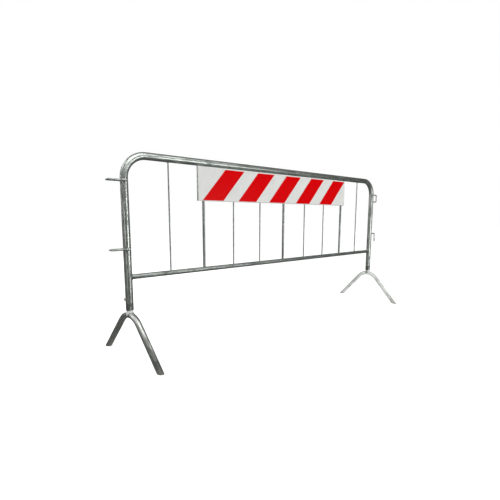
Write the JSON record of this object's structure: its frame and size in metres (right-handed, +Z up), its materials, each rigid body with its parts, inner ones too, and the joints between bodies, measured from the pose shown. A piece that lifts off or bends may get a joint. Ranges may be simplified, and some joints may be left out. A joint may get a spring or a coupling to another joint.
{
  "type": "crowd control barrier",
  "caption": "Free-standing galvanised steel pedestrian barrier with infill bars, a red and white striped sign, end hooks and eyelets, and swivelling plug-in feet.",
  "frame": {"origin": "on the ground, midway between the two posts and in the plane of the frame", "axes": "+Z up; +X along the barrier, from the eyelet end to the hook end; +Y away from the sign's face"},
  "size_m": [2.44, 0.6024, 1.1],
  "materials": {
    "hoop_galvanised": "hot-dip galvanised tube, fine spangle, dulled by weather",
    "infill_galvanised": "hot-dip galvanised rod and tube",
    "coupling_galvanised": "hot-dip galvanised rod, rubbed where it is handled",
    "foot_galvanised": "hot-dip galvanised tube, scuffed and dusty towards the ground",
    "spigot_galvanised": "galvanised, rubbed by turning",
    "sign_sheet": "galvanised sheet, light grey paint",
    "white_film": "white reflective sheeting",
    "red_film": "red reflective sheeting",
    "clip_steel": "zinc-plated strap",
    "rivet_steel": "plain blind rivet",
    "fastener_steel": "zinc-plated, dulled"
  },
  "bodies": {
    "frame": {"bottom_rail": "infill_galvanised", "frame_hoop": "hoop_galvanised", "infill_rod_1": "infill_galvanised", "infill_rod_3": "infill_galvanised", "infill_rod_4": "infill_galvanised", "infill_rod_6": "infill_galvanised", "infill_rod_7": "infill_galvanised", "infill_rod_9": "infill_galvanised", "infill_upright_2": "infill_galvanised", "infill_upright_5": "infill_galvanised", "infill_upright_8": "infill_galvanised", "left_dog_screw": "fastener_steel", "left_post_stop": "spigot_galvanised", "left_weld_nut": "fastener_steel", "lower_clip_2": "clip_steel", "lower_clip_5": "clip_steel", "lower_clip_8": "clip_steel", "lower_eyelet": "coupling_galvanised", "lower_hook": "coupling_galvanised", "panel_rivets": "rivet_steel", "red_stripe_1": "red_film", "red_stripe_2": "red_film", "red_stripe_3": "red_film", "red_stripe_4": "red_film", "red_stripe_5": "red_film", "right_dog_screw": "fastener_steel", "right_post_stop": "spigot_galvanised", "right_weld_nut": "fastener_steel", "sign_panel": "sign_sheet", "upper_clip_2": "clip_steel", "upper_clip_5": "clip_steel", "upper_clip_8": "clip_steel", "upper_eyelet": "coupling_galvanised", "upper_hook": "coupling_galvanised", "white_film": "white_film"},
    "left_foot": {"left_foot_tube": "foot_galvanised", "left_spigot": "spigot_galvanised"},
    "right_foot": {"right_foot_tube": "foot_galvanised", "right_spigot": "spigot_galvanised"}
  },
  "joints": [
    {"name": "left_foot_swivel", "type": "hinge", "parent": "frame", "child": "left_foot", "pos_m": [-1.13, 0, 0.27016], "axis": [0, 0, 1], "continuous": true},
    {"name": "right_foot_swivel", "type": "hinge", "parent": "frame", "child": "right_foot", "pos_m": [1.13, 0, 0.27016], "axis": [0, 0, 1], "continuous": true}
  ]
}
